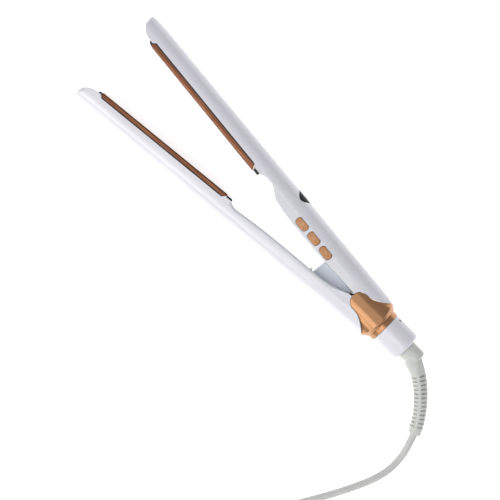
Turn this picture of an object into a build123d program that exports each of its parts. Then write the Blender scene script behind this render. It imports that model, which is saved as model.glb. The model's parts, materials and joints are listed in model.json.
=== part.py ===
"""Hair straightener lying open on its side.

Millimetres. +X runs from the tips of the arms towards the cord, +Y towards the control arm, +Z up.
The origin is at the middle of the body's footprint, on the surface that it lies on.

Each arm is drawn closed, with the hinge axis at (0, 0), its tip towards -X, its crown towards +Y and the
middle plane between the arms at y = 0. place_control and place_lower then swing it open into the row's frame.
"""

import math
import os

from build123d import *

os.makedirs("parts", exist_ok=True)

# ---- driving dimensions --------------------------------------------------------------------------
PIVOT_X = 101.8  # hinge axis, from the middle of the body
OPEN_ANGLE = 5.75  # each arm, from closed to fully open
WIDTH = 28.0  # across both side panels, which lie one above the other
MID = WIDTH / 2
WALL = 1.8  # of the shells
CLEAR = 0.4  # between bodies that move past each other
FIT = 0.05  # between the hinge pin and the lugs

# arms: distances forward of the hinge axis (x is minus these) and outward from the plane between the arms (y)
TIP = 254.0
HEEL = 17.5
TIP_CROWN = 16.7
HEEL_CROWN = 18.8
TIP_ROUNDING = 5.0
CREASE = 6.0  # where the flat side panel meets the rounded shell
LOWER_CREASE = 7.4
SHELL_EDGE = 4.4  # shell's edge beside the heating plate
PLATE_FRONT = 238.3
PLATE_REAR = 122.9
PLATE_FACE = 0.15
PLATE_WIDTH = 22.6
RAIL_FACE = 3.5  # of the black rails beside the plate
RAIL_BOTTOM = 2.0
RAIL_THICKNESS = 0.55
PANEL_FRONT = 117.5
PANEL_REAR = 10.0
PANEL_DEPTH = 0.25  # the side panels lie this much under the shell's side
CONTROL_INNER = -1.1  # inner face of the control arm's handle
LOWER_INNER = 4.2

# fasteners
SCREW_RADIUS = 0.95
SCREW_LENGTH = 8.5
HEAD_RADIUS = 1.9
HEAD_HEIGHT = 1.2
POST_RADIUS = 2.9
POST_SPLIT = 2.2  # the cover's posts meet the shell's this far above the crease

# hinge
PIN_RADIUS = 2.0
LUG_RADIUS = 5.2
TONGUE = 4.2  # thickness of the hinge cover's two tongues
NOSE_RADIUS = 6.9

# tail
COLLAR_RADIUS = 12.8
SEAM = 127.9  # between the hinge cover's collar and the lock ring
RING_RADIUS = 12.6
TAIL_END = 150.0
CORE_RADIUS = 9.4
CORE_END = 142.4
SLIDER_TRAVEL = 2.5

# controls
BUTTON_PITCH = 13.3
BUTTON_MID = 56.3  # middle button, forward of the hinge axis
BUTTON_Y = 3.1
BUTTON_LENGTH = 10.5
BUTTON_WIDTH = 5.6
BUTTON_TOP = 28.2
BUTTON_GAP = 0.35
LENS_X = 83.8
LENS_LENGTH = 13.0
LENS_SPAN = 22.0

# guard between the handles
GUARD_FRONT = 38.0
GUARD_DEPTH = 13.8
GUARD_WIDTH = 15.2

# cord
CORD_DIAMETER = 5.5
CORD_LENGTH = 1800.0
SLEEVE_RADIUS = 7.25
TABLE_CORD = CORD_DIAMETER / 2
COIL_CENTRE = (193.9, -177.6)
COIL_RADIUS = 30.5
COIL_LAYERS = 3
PLUG_LENGTH = 36.0
PLUG_PIN_LENGTH = 19.0
PLUG_PIN_OFFSET = 9.3  # each pin's middle, from the plug's middle
PLUG_PIN_RADIUS = 2.0

place_control = Pos(PIVOT_X, 0, 0) * Rot(0, 0, -OPEN_ANGLE)
place_lower = Pos(PIVOT_X, 0, 0) * Rot(0, 0, OPEN_ANGLE)


def save(piece, name):
    """Label one finished piece and write it."""
    piece.label = name
    export_step(piece, f"parts/{name}.step")


def save_control(piece, name):
    """Write a piece of the control arm, swung open."""
    save(place_control * piece, name)


def save_lower(piece, name):
    """Write a piece that was drawn like the control arm's as the lower arm's: mirrored and swung open."""
    save(place_lower * mirror(piece, about=Plane.XZ), name)


# ---- shapes that both arms share -----------------------------------------------------------------
def arm_tunnel(inset, crease=CREASE):
    """The arm's long body with no ends: flat sides up to the crease, then half an ellipse up to the crown."""
    with BuildPart() as tunnel:
        for x, crown in ((-TIP - 1, TIP_CROWN), (HEEL + 1, HEEL_CROWN)):
            with BuildSketch(Plane.YZ.offset(x)):
                with BuildLine():
                    Polyline((crease, WIDTH - inset), (-3, WIDTH - inset), (-3, inset), (crease, inset))
                    EllipticalCenterArc(
                        (crease, MID), crown - crease - inset, MID - inset, start_angle=-90, arc_size=180
                    )
                make_face()
        loft()
    return tunnel.part


def slab(points, bottom, top):
    """A straight-edged outline, drawn from above, between two heights."""
    with BuildPart() as block:
        with BuildSketch(Plane.XY.offset(bottom)):
            with BuildLine():
                Polyline(*points, close=True)
            make_face()
        extrude(amount=top - bottom)
    return block.part


# the hinge cover's flank seen from above, from the hinge axis: place and slope, from the nose to the rim
FLANK = (((0, NOSE_RADIUS), 0.0), ((6.5, 8.1), 0.5), ((11.6, 10.9), 0.62), ((17.4, 15.5), 1.0))


def bell_plan(grow):
    """Outline of the hinge cover from above: round nose, hollow flanks, then wide enough to pass the rim."""
    points = []
    for (x, y), slope in FLANK:
        step = grow / math.hypot(1, slope)
        points.append((x - slope * step, y + step))
    end_x, end_y = points[-1]
    with BuildSketch() as plan:
        with BuildLine():
            flank = Spline(*points, tangents=((1, 0), (1, 1)))
            Polyline((end_x, end_y), (end_x + 3, end_y + 3), (30, end_y + 3), (30, 0))
            mirror(about=Plane.XZ)
            CenterArc((0, 0), NOSE_RADIUS + grow, 90, 180)
        make_face()
    return plan.sketch


def nose_cut():
    """What the hinge cover and its gap take out of an arm, in the arm's closed frame."""
    with BuildPart() as cut:
        add(bell_plan(CLEAR))
        extrude(amount=WIDTH + 2, both=True)
    return Rot(0, 0, OPEN_ANGLE) * cut.part


def panel_end(crease):
    """Points where the side panel's rear end turns down towards the nose."""
    return (-21.0, crease), (-14.2, crease - 1.6), (-10.6, 1.9), (-PANEL_REAR, 0.5)


def shell_outline(crease):
    """Side outline of an arm's outer shell, along the tip, the plate, the handle and the heel."""
    turn = panel_end(crease)
    with BuildLine() as outline:
        tip = Spline(
            (-TIP, 10.8), (-252.0, 6.6), (-247.6, 3.4), (-240.8, 2.2), tangents=((0.02, -1), (1, -0.04))
        )
        Polyline(
            tip @ 1,
            (-238.6, 2.2),
            (-236.5, SHELL_EDGE),
            (-125.3, SHELL_EDGE),
            (-123.5, 2.5),
            (-PANEL_FRONT, 2.5),
            (-PANEL_FRONT, crease),
            turn[0],
        )
        Spline(*turn, tangents=((1, 0), (0.35, -1)))
        heel = Spline((HEEL, 15.6), (14.6, 17.7), (9.0, 18.75), tangents=((-0.3, 1), (-1, 0.06)))
        Polyline(turn[3], (0, 0.5), (HEEL, 0.5), heel @ 0)
        Polyline(heel @ 1, (-20, 21), (16 - TIP, 21), (16 - TIP, 16.9))
        crown = Spline(
            (16 - TIP, 16.9), (8.0 - TIP, 16.2), (1.2 - TIP, 15.0), tangents=((-1, -0.03), (-1, -0.45))
        )
        ThreePointArc(crown @ 1, (0.3 - TIP, 14.5), (-TIP, 13.6))
        Line((-TIP, 13.6), (-TIP, 10.8))
    return outline.line


def shell_hollow(crease):
    """The space inside an arm's shell: open towards the other arm, closed at the tip and the heel."""
    with BuildPart() as hollow:
        add(
            slab(
                [
                    (-4, 8.6),
                    (-6.8, -4),
                    (-241.3, -4),
                    (-241.3, 9.0),
                    (-249.5, 12.5),
                    (-249.5, 21),
                    (-4, 21),
                ],
                0,
                WIDTH,
            )
        )
        add(arm_tunnel(WALL, crease), mode=Mode.INTERSECT)
    return hollow.part


def rounded_end():
    """What the arm's tip keeps when it is seen from its crown: a straight end with rounded corners."""
    with BuildPart() as end:
        with BuildSketch(Plane.XZ.offset(3)):
            with Locations((0, MID)):
                RectangleRounded(2 * TIP, WIDTH, TIP_ROUNDING)
        extrude(amount=-30)
    return end.part


def screw_posts(start, crease, screws):
    """Screw posts that stand on the crown's inner face, with their blind holes."""
    with BuildPart() as posts:
        with BuildSketch(Plane.XZ.offset(-start)):
            with Locations(*[(x, MID) for x in screws]):
                Circle(POST_RADIUS)
        extrude(amount=-16)
        add(arm_tunnel(WALL - 0.4, crease), mode=Mode.INTERSECT)
        with BuildSketch(Plane.XZ.offset(-start)):
            with Locations(*[(x, MID) for x in screws]):
                Circle(SCREW_RADIUS)
        extrude(amount=-6, mode=Mode.SUBTRACT)
    return posts.part


def outer_shell(crease, screws):
    """An arm's outer shell with its screw posts."""
    with BuildPart() as shell:
        with BuildSketch():
            add(shell_outline(crease))
            make_face()
        extrude(amount=WIDTH)
        add(arm_tunnel(0, crease), mode=Mode.INTERSECT)
        add(rounded_end(), mode=Mode.INTERSECT)
        add(shell_hollow(crease), mode=Mode.SUBTRACT)
        add(nose_cut(), mode=Mode.SUBTRACT)
        add(screw_posts(crease + POST_SPLIT, crease, screws))
    return shell.part


def screw(x, head_y):
    """A pan-head screw that goes in towards the crown."""
    with BuildPart() as fastener:
        head = (0, HEAD_RADIUS, HEAD_HEIGHT)
        shank = (HEAD_HEIGHT, SCREW_RADIUS, SCREW_LENGTH)
        for start, radius, length in (head, shank):
            with BuildSketch(Plane.XZ.offset(-head_y - start)):
                with Locations((x, MID)):
                    Circle(radius)
            extrude(amount=-length)
        with BuildSketch(Plane.XZ.offset(-head_y)):
            with Locations((x, MID)):
                Rectangle(2.4, 0.5)
                Rectangle(0.5, 2.4)
        extrude(amount=-0.6, mode=Mode.SUBTRACT)
    return fastener.part


def cover_posts(start, end, screws):
    """The posts on an inner cover that meet the shell's posts."""
    with BuildPart() as posts:
        with BuildSketch(Plane.XZ.offset(-start)):
            with Locations(*[(x, MID) for x in screws]):
                Circle(POST_RADIUS)
        extrude(amount=start - end)
    return posts.part


def screw_seats(face_y, head_y, screws):
    """What the screws take out of an inner cover: a round seat for the head and a hole for the shank."""
    with BuildPart() as seats:
        for start, radius, length in (
            (face_y - 1, HEAD_RADIUS + 0.2, head_y + HEAD_HEIGHT + 1 - face_y),
            (head_y, SCREW_RADIUS, 12),
        ):
            with BuildSketch(Plane.XZ.offset(-start)):
                with Locations(*[(x, MID) for x in screws]):
                    Circle(radius)
            extrude(amount=-length)
    return seats.part


# ---- control arm ---------------------------------------------------------------------------------
CONTROL_SCREWS = (-74.0, -30.0)
CONTROL_SCREW_HEAD = 1.0


def button_centres():
    """Forward distance of the three buttons, power first."""
    return [-(BUTTON_MID + step * BUTTON_PITCH) for step in (1, 0, -1)]


with BuildPart() as lens_prism:
    with BuildSketch(Plane.XZ.offset(-10)):
        with Locations((-LENS_X, MID)):
            Ellipse(LENS_LENGTH / 2, LENS_SPAN / 2)
    extrude(amount=-12)

with BuildPart() as control_shell:
    add(outer_shell(CREASE, CONTROL_SCREWS))
    add(lens_prism.part, mode=Mode.SUBTRACT)
save_control(control_shell.part, "control_shell")

with BuildPart() as display_lens:
    add(lens_prism.part)
    add(arm_tunnel(0.05), mode=Mode.INTERSECT)
    add(arm_tunnel(WALL - 0.1), mode=Mode.SUBTRACT)
save_control(display_lens.part, "display_lens")

with BuildPart() as display_module:
    with BuildSketch(Plane.XZ.offset(-12.2)):
        with Locations((-LENS_X, MID)):
            RectangleRounded(10, 13, 0.8)
    extrude(amount=-2.2)
    with BuildSketch(Plane.XZ.offset(-14.4)):
        with Locations((-LENS_X, MID)):
            Rectangle(8.4, 9)
    extrude(amount=-0.7)
save_control(display_module.part, "display_module")

with BuildPart() as control_inner_cover:
    turn = panel_end(CREASE)
    with BuildSketch():
        with BuildLine():
            Polyline((-PANEL_FRONT, CREASE), turn[0])
            Spline(*turn, tangents=((1, 0), (0.35, -1)))
            Polyline(turn[3], (-16, 0.1))
            Spline(
                (-16, 0.1),
                (-40, CONTROL_INNER),
                (-90, CONTROL_INNER + 0.2),
                (-97.5, 0.7),
                (-103.5, 4.0),
                (-109.5, 4.8),
                (-116, 3.0),
                (-PANEL_FRONT, 2.5),
                tangents=((-1, -0.06), (-1, -0.05)),
            )
            Line((-PANEL_FRONT, 2.5), (-PANEL_FRONT, CREASE))
        make_face()
    extrude(amount=WIDTH)
    long_edges = control_inner_cover.edges().filter_by(
        lambda edge: edge.center().Y < 4.2 and edge.length > 30 and abs(edge.center().Z - MID) > 13
    )
    fillet(long_edges, radius=1.1)
    for low, high in ((WIDTH - PANEL_DEPTH, WIDTH), (0, PANEL_DEPTH)):
        side = [(-PANEL_FRONT, -4), (0, -4), (0, CREASE), (-PANEL_FRONT, CREASE)]
        add(slab(side, low, high), mode=Mode.SUBTRACT)
    cavity = slab(
        [
            (-94, 0.7),
            (-100, 4.6),
            (-108, CREASE - 0.5),
            (-108, 8),
            (-8, 8),
            (-8, 1.4),
            (-19, 1.4),
            (-36, 0.2),
        ],
        WALL,
        WIDTH - WALL,
    )
    add(cavity, mode=Mode.SUBTRACT)
    add(nose_cut(), mode=Mode.SUBTRACT)
    with BuildSketch(Plane.XY.offset(MID)):
        for x in button_centres():
            with Locations((x, BUTTON_Y)):
                RectangleRounded(
                    BUTTON_LENGTH + 2 * BUTTON_GAP, BUTTON_WIDTH + 2 * BUTTON_GAP, 2.4 + BUTTON_GAP
                )
    extrude(amount=WIDTH, mode=Mode.SUBTRACT)
    add(cover_posts(-0.4, CREASE + POST_SPLIT, CONTROL_SCREWS))
    add(screw_seats(CONTROL_INNER, CONTROL_SCREW_HEAD, CONTROL_SCREWS), mode=Mode.SUBTRACT)
save_control(control_inner_cover.part, "control_inner_cover")

with BuildPart() as control_screws:
    for x in CONTROL_SCREWS:
        add(screw(x, CONTROL_SCREW_HEAD))
save_control(control_screws.part, "control_screws")


def plate_frame():
    """The black carrier of a floating heating plate: end blocks, and rails that show beside the plate."""
    with BuildPart() as frame:
        add(slab([(-241.2, 7.3), (-241.2, 8.4), (-117.6, 8.4), (-117.6, 7.3)], 2.3, WIDTH - 2.3))
        rail = [(-239.0, RAIL_FACE), (-239.0, 7.6), (-119.0, 7.6), (-119.0, RAIL_FACE)]
        for low in (RAIL_BOTTOM, WIDTH - RAIL_BOTTOM - RAIL_THICKNESS):
            add(slab(rail, low, low + RAIL_THICKNESS))
        with BuildSketch(Plane.XZ.offset(-7)):
            with Locations(*[(x, MID) for x in (-220, -195, -170, -145)]):
                Rectangle(12, 14)
        extrude(amount=-2, mode=Mode.SUBTRACT)
        add(slab([(-241.2, 1.4), (-240.6, 0.8), (-238.9, 0.8), (-238.9, 7.4), (-241.2, 7.4)], 3, WIDTH - 3))
        add(slab([(-122.4, 0.9), (-118.2, 0.9), (-117.6, 1.5), (-117.6, 7.4), (-122.4, 7.4)], 3, WIDTH - 3))
    return frame.part


def heat_plate():
    """A heating plate: a polished slab with rounded long edges and two low walls that hold the heater."""
    half = PLATE_WIDTH / 2
    with BuildPart() as plate:
        with BuildSketch():
            with BuildLine():
                Polyline(
                    (-PLATE_FRONT, PLATE_FACE),
                    (-PLATE_REAR, PLATE_FACE),
                    (-PLATE_REAR, 1.3),
                    (-PLATE_REAR - 1.9, 3.2),
                    (-PLATE_REAR - 1.9, 5.6),
                    (-PLATE_FRONT + 1.7, 5.6),
                    (-PLATE_FRONT + 1.7, 3.2),
                    (-PLATE_FRONT, 1.3),
                    close=True,
                )
            make_face()
        extrude(amount=PLATE_WIDTH)
        face_edges = plate.edges().filter_by(Axis.X).group_by(Axis.Y)[0]
        fillet(face_edges, radius=1.4)
        with BuildSketch(Plane.XY.offset(1.6)):
            with Locations((-(PLATE_FRONT + PLATE_REAR) / 2, 5.6)):
                Rectangle(PLATE_FRONT - PLATE_REAR + 2, 6.0)
        extrude(amount=PLATE_WIDTH - 3.2, mode=Mode.SUBTRACT)
    return Pos(0, 0, MID - half) * plate.part


def heater():
    """A flat ceramic heater that lies on the plate's back."""
    with BuildPart() as bar:
        with BuildSketch(Plane.XZ.offset(-2.6)):
            with Locations((-(PLATE_FRONT + PLATE_REAR) / 2, MID)):
                RectangleRounded(78, 15, 1.0)
        extrude(amount=-1.9)
    return bar.part


def heater_clip():
    """The spring-steel strip that holds the heater on the plate."""
    with BuildPart() as strip:
        with BuildSketch(Plane.XZ.offset(-4.5)):
            with Locations((-(PLATE_FRONT + PLATE_REAR) / 2, MID)):
                RectangleRounded(88, 9, 1.5)
        extrude(amount=-0.7)
        for end in (-1, 1):
            with BuildSketch(Plane.XZ.offset(-2.6)):
                with Locations((-(PLATE_FRONT + PLATE_REAR) / 2 + end * 42.4, MID)):
                    Rectangle(3.0, 9)
            extrude(amount=-2.0)
    return strip.part


def thermistor():
    """The bead that reads the plate's temperature, beside the heater's rear end."""
    with BuildPart() as bead:
        with BuildSketch(Plane.XZ.offset(-2.6)):
            with Locations((-PLATE_REAR - 8.5, MID)):
                SlotOverall(5.0, 2.4)
        extrude(amount=-1.8)
    return bead.part


def float_pads():
    """Two silicone pads between the frame and the heater clip, which let the plate give."""
    with BuildPart() as pads:
        for x in (-207.5, -157.5):
            with BuildSketch(Plane.XZ.offset(-5.2)):
                with Locations((x, MID)):
                    RectangleRounded(11, 7, 1.5)
            extrude(amount=-2.1)
    return pads.part


def leads(height):
    """A pair of insulated heater leads from the plate's rear end to the hinge."""
    with BuildPart() as pair:
        for z in (MID - 5, MID + 5):
            with BuildLine(Plane.XY.offset(z)):
                FilletPolyline((-148, 7.4), (-139, height), (-60, height), (-40, height + 0.4), radius=6)
            with BuildSketch(Plane(origin=(-148, 7.4, z), z_dir=(9, height - 7.4, 0))):
                Circle(0.8)
            sweep()
    return pair.part


for arm, write in (("control", save_control), ("lower", save_lower)):
    write(plate_frame(), f"{arm}_plate_frame")
    write(heat_plate(), f"{arm}_heat_plate")
    write(heater(), f"{arm}_heater")
    write(heater_clip(), f"{arm}_heater_clip")
    write(thermistor(), f"{arm}_thermistor")
    write(float_pads(), f"{arm}_float_pads")


def lug(bottom, top):
    """One hinge lug with the neck that joins it to its bracket."""
    with BuildPart() as ear:
        with BuildSketch(Plane.XY.offset(bottom)):
            Circle(LUG_RADIUS)
            with BuildLine():
                Polyline((0, LUG_RADIUS), (-10, 4.6), (-10, 2.0), (-3, 1.7), close=True)
            make_face()
            Circle(PIN_RADIUS + FIT, mode=Mode.SUBTRACT)
        extrude(amount=top - bottom)
    return ear.part


with BuildPart() as control_bracket:
    add(slab([(-8.2, 1.6), (-18.6, 1.6), (-22, 2.4), (-22, 4.6), (-8.2, 4.6)], 4.7, WIDTH - 4.7))
    add(lug(4.7, 9.4))
    add(lug(WIDTH - 9.4, WIDTH - 4.7))
save_control(control_bracket.part, "control_bracket")

with BuildPart() as spring_guard:
    guard_low = MID - GUARD_WIDTH / 2
    guard_high = MID + GUARD_WIDTH / 2
    add(
        slab(
            [(-GUARD_FRONT, -1.2), (-GUARD_FRONT, -GUARD_DEPTH), (-9.2, -4.6), (-9.2, -0.1), (-16, -0.1)],
            guard_low,
            guard_high,
        )
    )
    add(
        slab(
            [(-GUARD_FRONT + 1.3, -2.5), (-GUARD_FRONT + 1.3, -15), (-5, -15), (-5, -1.4), (-16, -1.4)],
            guard_low + 1.3,
            guard_high - 1.3,
        ),
        mode=Mode.SUBTRACT,
    )
save_control(spring_guard.part, "spring_guard")

with BuildPart() as control_board:
    add(slab([(-94, 7.4), (-94, 11.8), (-36, 11.8), (-36, 0.9), (-79, 0.9), (-79, 7.4)], 21.6, 23.2))
save_control(control_board.part, "control_board")

with BuildPart() as tact_switches:
    with BuildSketch(Plane.XY.offset(23.2)):
        with Locations(*[(x, BUTTON_Y) for x in button_centres()]):
            Rectangle(4.4, 4.2)
    extrude(amount=0.8)
    with BuildSketch(Plane.XY.offset(24.0)):
        with Locations(*[(x, BUTTON_Y) for x in button_centres()]):
            Circle(1.1)
    extrude(amount=0.2)
save_control(tact_switches.part, "tact_switches")

save_control(leads(11.2), "control_leads")


MARK_LINE = 0.45  # width and depth of the signs cut into the buttons
MARK_DEPTH = 0.18
MARK_REACH = 2.4


def power_mark():
    """A ring with a gap and a short bar in it."""
    with BuildSketch() as mark:
        Circle(MARK_REACH / 2)
        Circle(MARK_REACH / 2 - MARK_LINE, mode=Mode.SUBTRACT)
        with Locations((0, MARK_REACH / 2)):
            Rectangle(3 * MARK_LINE, MARK_REACH / 2, mode=Mode.SUBTRACT)
        with Locations((0, MARK_REACH / 4)):
            Rectangle(MARK_LINE, MARK_REACH / 2 + 0.3)
    return mark.sketch


def minus_mark():
    """A bar."""
    with BuildSketch() as mark:
        Rectangle(MARK_REACH, MARK_LINE)
    return mark.sketch


def plus_mark():
    """Two crossed bars."""
    with BuildSketch() as mark:
        Rectangle(MARK_REACH, MARK_LINE)
        Rectangle(MARK_LINE, MARK_REACH)
    return mark.sketch


def button(x, mark):
    """A push button: cap above the panel with its sign cut into it, and a flange under it."""
    with BuildPart() as cap:
        with BuildSketch(Plane.XY.offset(25.9)):
            with Locations((x, BUTTON_Y)):
                RectangleRounded(BUTTON_LENGTH, BUTTON_WIDTH, 2.4)
        extrude(amount=BUTTON_TOP - 25.9)
        fillet(cap.faces().sort_by(Axis.Z)[-1].edges(), radius=0.5)
        with BuildSketch(Plane.XY.offset(25.1)):
            with Locations((x, BUTTON_Y)):
                Rectangle(12.4, 3.4)
        extrude(amount=0.8)
        with BuildSketch(Plane.XY.offset(BUTTON_TOP - MARK_DEPTH)):
            with Locations((x, BUTTON_Y)):
                add(mark)
        extrude(amount=MARK_DEPTH, mode=Mode.SUBTRACT)
    return cap.part


BUTTONS = (("power_button", power_mark()), ("plus_button", plus_mark()), ("minus_button", minus_mark()))
for x, (name, mark) in zip(button_centres(), BUTTONS):
    save_control(button(x, mark), name)

# ---- lower arm -----------------------------------------------------------------------------------
LOWER_SCREWS = (-100.0, -60.0)
LOWER_SCREW_HEAD = 5.4

with BuildPart() as lower_shell:
    add(outer_shell(LOWER_CREASE, LOWER_SCREWS))
save_lower(lower_shell.part, "lower_shell")

with BuildPart() as lower_inner_cover:
    turn = panel_end(LOWER_CREASE)
    with BuildSketch():
        with BuildLine():
            Polyline((-PANEL_FRONT, LOWER_CREASE), turn[0])
            Spline(*turn, tangents=((1, 0), (0.35, -1)))
            Polyline(turn[3], (-12, 1.2))
            Spline(
                (-12, 1.2),
                (-25, 3.6),
                (-42, LOWER_INNER),
                (-106, LOWER_INNER + 0.5),
                (-114, 4.4),
                (-PANEL_FRONT, 2.5),
                tangents=((-1, 0.2), (-1, -0.6)),
            )
            Line((-PANEL_FRONT, 2.5), (-PANEL_FRONT, LOWER_CREASE))
        make_face()
    extrude(amount=WIDTH)
    long_edges = lower_inner_cover.edges().filter_by(
        lambda edge: edge.center().Y < 5.2 and edge.length > 30 and abs(edge.center().Z - MID) > 13
    )
    fillet(long_edges, radius=2.2)
    nub_half = GUARD_WIDTH / 2
    add(slab([(-43.2, 5.4), (-42.8, 3.1), (-41.0, 2.9), (-41.0, 5.4)], MID - nub_half, MID + nub_half))
    cavity = slab(
        [(-108, 8.6), (-108, 6.2), (-42, 5.9), (-30, 5.4), (-8, 5.2), (-8, 8.6)], WALL, WIDTH - WALL
    )
    add(cavity, mode=Mode.SUBTRACT)
    slot_half = GUARD_WIDTH / 2 + CLEAR
    slot_front = -GUARD_FRONT - 2.8
    slot_outline = [(slot_front, -2), (slot_front, 12), (-5, 12), (-5, -2)]
    add(slab(slot_outline, MID - slot_half, MID + slot_half), mode=Mode.SUBTRACT)
    add(nose_cut(), mode=Mode.SUBTRACT)
    add(cover_posts(5.0, LOWER_CREASE + POST_SPLIT, LOWER_SCREWS))
    add(screw_seats(LOWER_INNER, LOWER_SCREW_HEAD, LOWER_SCREWS), mode=Mode.SUBTRACT)
save_lower(lower_inner_cover.part, "lower_inner_cover")

with BuildPart() as lower_screws:
    for x in LOWER_SCREWS:
        add(screw(x, LOWER_SCREW_HEAD))
save_lower(lower_screws.part, "lower_screws")

with BuildPart() as lower_bracket:
    add(slab([(-8.2, 1.6), (-22, 2.6), (-22, 13.4), (-9.4, 13.4)], 8.6, WIDTH - 8.6))
    add(slab([(-9.4, 13.2), (-34, 13.2), (-34, 14.4), (-9.4, 14.4)], 8.1, WIDTH - 8.1))
    add(lug(9.8, WIDTH - 9.8))
save_lower(lower_bracket.part, "lower_bracket")

save_lower(leads(11.2), "lower_leads")

# ---- opening spring, drawn with the arms open ----------------------------------------------------
with BuildPart() as arm_spring:
    foot = Vector(-27.6, -14.8, MID)
    reach = Vector(-28.6, -0.2, MID) - foot
    with BuildLine() as coil:
        Helix(pitch=reach.length / 6, height=reach.length, radius=2.9, center=foot, direction=reach)
    with BuildSketch(Plane(origin=coil.line @ 0, z_dir=coil.line % 0)):
        Circle(0.45)
    sweep()
save(Pos(PIVOT_X, 0, 0) * arm_spring.part, "arm_spring")

# ---- tail: hinge cover, pin, core, leads ---------------------------------------------------------
TAIL_AXIS = Axis((0, 0, MID), (1, 0, 0))
CORE_FRONT = 113.3
CORE_BORE = 4.2
SLIDER_RADIUS = 3.7
CROSS_PIN_X = 134.0
CROSS_PIN_RADIUS = 1.0
CROSS_PIN_REACH = 10.5


def turned(points):
    """A piece turned about the tail's axis from an outline of (x, radius) points."""
    with BuildPart() as piece:
        with BuildSketch(Plane.XY.offset(MID)):
            with BuildLine():
                Polyline(*points, close=True)
            make_face()
        revolve(axis=TAIL_AXIS)
    return piece.part


with BuildPart() as cover_section:
    with BuildSketch(Plane.YZ.offset(-8)):
        with BuildLine():
            EllipticalCenterArc((2.5, MID), 13.7, MID, start_angle=-90, arc_size=180)
            Line((2.5, WIDTH), (-2.5, WIDTH))
            EllipticalCenterArc((-2.5, MID), 13.7, MID, start_angle=90, arc_size=180)
            Line((-2.5, 0), (2.5, 0))
        make_face()
    extrude(amount=40)

COVER_END = SEAM - PIVOT_X

with BuildPart() as cover_turning:
    with BuildSketch(Plane.XY.offset(MID)):
        with BuildLine():
            Polyline((17.2, 16.3), (17.2, 24), (-9, 24), (-9, 0), (COVER_END, 0))
            Polyline((COVER_END, 0), (COVER_END, COLLAR_RADIUS), (23.2, COLLAR_RADIUS), (22.8, 12.5))
            Spline((22.8, 12.5), (21.0, 14.2), (19.5, 15.4), (17.2, 16.3), tangents=((-0.5, 1), (-1, 0.1)))
        make_face()
    revolve(axis=TAIL_AXIS)

with BuildPart() as hinge_cover:
    add(bell_plan(0))
    extrude(amount=WIDTH)
    add(cover_section.part, mode=Mode.INTERSECT)
    add(cover_turning.part, mode=Mode.INTERSECT)
    with BuildSketch(Plane.XY.offset(TONGUE)):
        Circle(9.4)
        with Locations((-10, 0)):
            Rectangle(20, 26)
    extrude(amount=WIDTH - 2 * TONGUE, mode=Mode.SUBTRACT)
    with BuildSketch(Plane.XY.offset(1.2)):
        Circle(PIN_RADIUS)
    extrude(amount=WIDTH - 2.4, mode=Mode.SUBTRACT)
    with BuildSketch(Plane.YZ.offset(5)):
        with Locations((0, MID)):
            Circle(CORE_BORE)
    extrude(amount=10, mode=Mode.SUBTRACT)
    with BuildSketch(Plane.YZ.offset(CORE_FRONT - PIVOT_X)):
        with Locations((0, MID)):
            Circle(8.5)
    extrude(amount=20, mode=Mode.SUBTRACT)
save(Pos(PIVOT_X, 0, 0) * hinge_cover.part, "hinge_cover")

with BuildPart() as hinge_pin:
    with BuildSketch(Plane.XY.offset(1.2)):
        with Locations((PIVOT_X, 0)):
            Circle(PIN_RADIUS)
    extrude(amount=WIDTH - 2.4)
    chamfer(hinge_pin.edges().filter_by(GeomType.CIRCLE), length=0.4)
save(hinge_pin.part, "hinge_pin")

with BuildPart() as tail_core:
    add(
        turned(
            [
                (CORE_FRONT, CORE_BORE),
                (CORE_FRONT, 8.5),
                (SEAM, 8.5),
                (SEAM, CORE_RADIUS),
                (CORE_END, CORE_RADIUS),
                (CORE_END, CORE_BORE),
            ]
        )
    )
    window_front = CROSS_PIN_X - SLIDER_TRAVEL - CROSS_PIN_RADIUS - CLEAR
    window_rear = CROSS_PIN_X + CROSS_PIN_RADIUS + CLEAR
    with Locations(((window_front + window_rear) / 2, 0, MID)):
        Box(window_rear - window_front, 2 * COLLAR_RADIUS, 2 * (CROSS_PIN_RADIUS + CLEAR), mode=Mode.SUBTRACT)
save(tail_core.part, "tail_core")

with BuildPart() as supply_leads:
    for z in (MID - 2.0, MID + 2.0):
        with BuildSketch(Plane.YZ.offset(111)):
            with Locations((0, z)):
                Circle(0.55)
        extrude(amount=31)
save(supply_leads.part, "supply_leads")

# ---- lock: slider inside the core, ring round it -------------------------------------------------
with BuildPart() as lock_slider:
    with BuildSketch(Plane.YZ.offset(112.4)):
        with Locations((0, MID)):
            Circle(SLIDER_RADIUS)
            Circle(2.95, mode=Mode.SUBTRACT)
    extrude(amount=25)
    with BuildSketch(Plane.XZ.offset(-8)):
        with Locations((CROSS_PIN_X, MID)):
            Circle(CROSS_PIN_RADIUS)
    extrude(amount=16, mode=Mode.SUBTRACT)
save(lock_slider.part, "lock_slider")

with BuildPart() as lock_cross_pin:
    with BuildSketch(Plane.XZ.offset(-CROSS_PIN_REACH)):
        with Locations((CROSS_PIN_X, MID)):
            Circle(CROSS_PIN_RADIUS)
    extrude(amount=2 * CROSS_PIN_REACH)
save(lock_cross_pin.part, "lock_cross_pin")

RING_FRONT = SEAM + 0.35
RING_INNER = CORE_RADIUS + CLEAR
RING_WALL = 146.6
DOT_RADIUS = 1.1
DOT_OUT = Vector(0, 1, 0).rotate(Axis.X, 28)
DOT_SEAT = Plane(origin=Vector(132.3, 0, MID) + DOT_OUT * (RING_RADIUS - 0.6), z_dir=DOT_OUT)

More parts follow.
